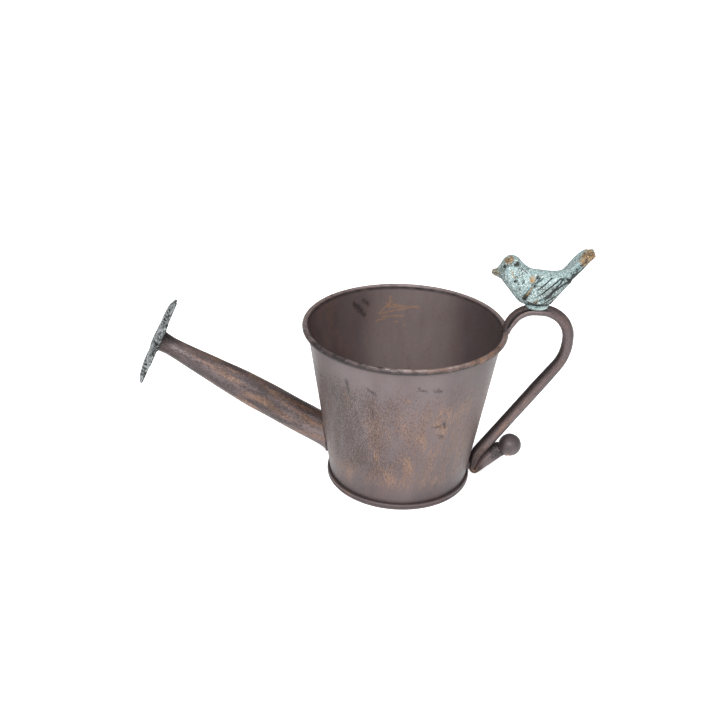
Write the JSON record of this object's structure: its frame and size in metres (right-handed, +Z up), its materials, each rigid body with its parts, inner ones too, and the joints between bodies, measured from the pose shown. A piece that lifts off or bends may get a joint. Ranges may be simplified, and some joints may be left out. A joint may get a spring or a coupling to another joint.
{
  "type": "watering can",
  "caption": "Small decorative watering can: tapered open pot, long straight spout with a flower rose, looped tube handle ending in a ball, and a cast bird perched on the handle",
  "frame": {"origin": "centre of the pot's base ring, on the surface the can stands on", "axes": "+Z up along the pot's axis; +X towards the handle and the bird's tail, so the spout points to -X; +Y across the can"},
  "size_m": [0.3279, 0.15, 0.1886],
  "materials": {
    "bronze_paint": "satin bronze-brown paint rubbed through to copper, on sheet steel",
    "rim_wire_steel": "bare drawn wire, hidden inside the rolled rim",
    "seam_sealant": "matt sealing compound, hidden inside the folded base seam",
    "verdigris_casting": "blackened casting with grey-green rubbed highlights",
    "pin_steel": "bare steel, hidden inside the bird",
    "bird_paint": "crackled duck-egg blue paint rubbed through to ochre and black"
  },
  "bodies": {
    "root": {"pot_wall": "bronze_paint", "rim_wire": "rim_wire_steel", "pot_base": "bronze_paint", "seam_seal": "seam_sealant", "spout_tube": "bronze_paint", "spout_root_weld": "bronze_paint", "rose_weld": "bronze_paint", "rose_flower": "verdigris_casting", "handle_tube": "bronze_paint", "handle_rim_weld": "bronze_paint", "handle_foot_weld": "bronze_paint", "finial_ball": "bronze_paint", "finial_weld": "bronze_paint", "bird_pin": "pin_steel", "bird_perch": "bird_paint", "bird_body": "bird_paint"}
  },
  "joints": []
}
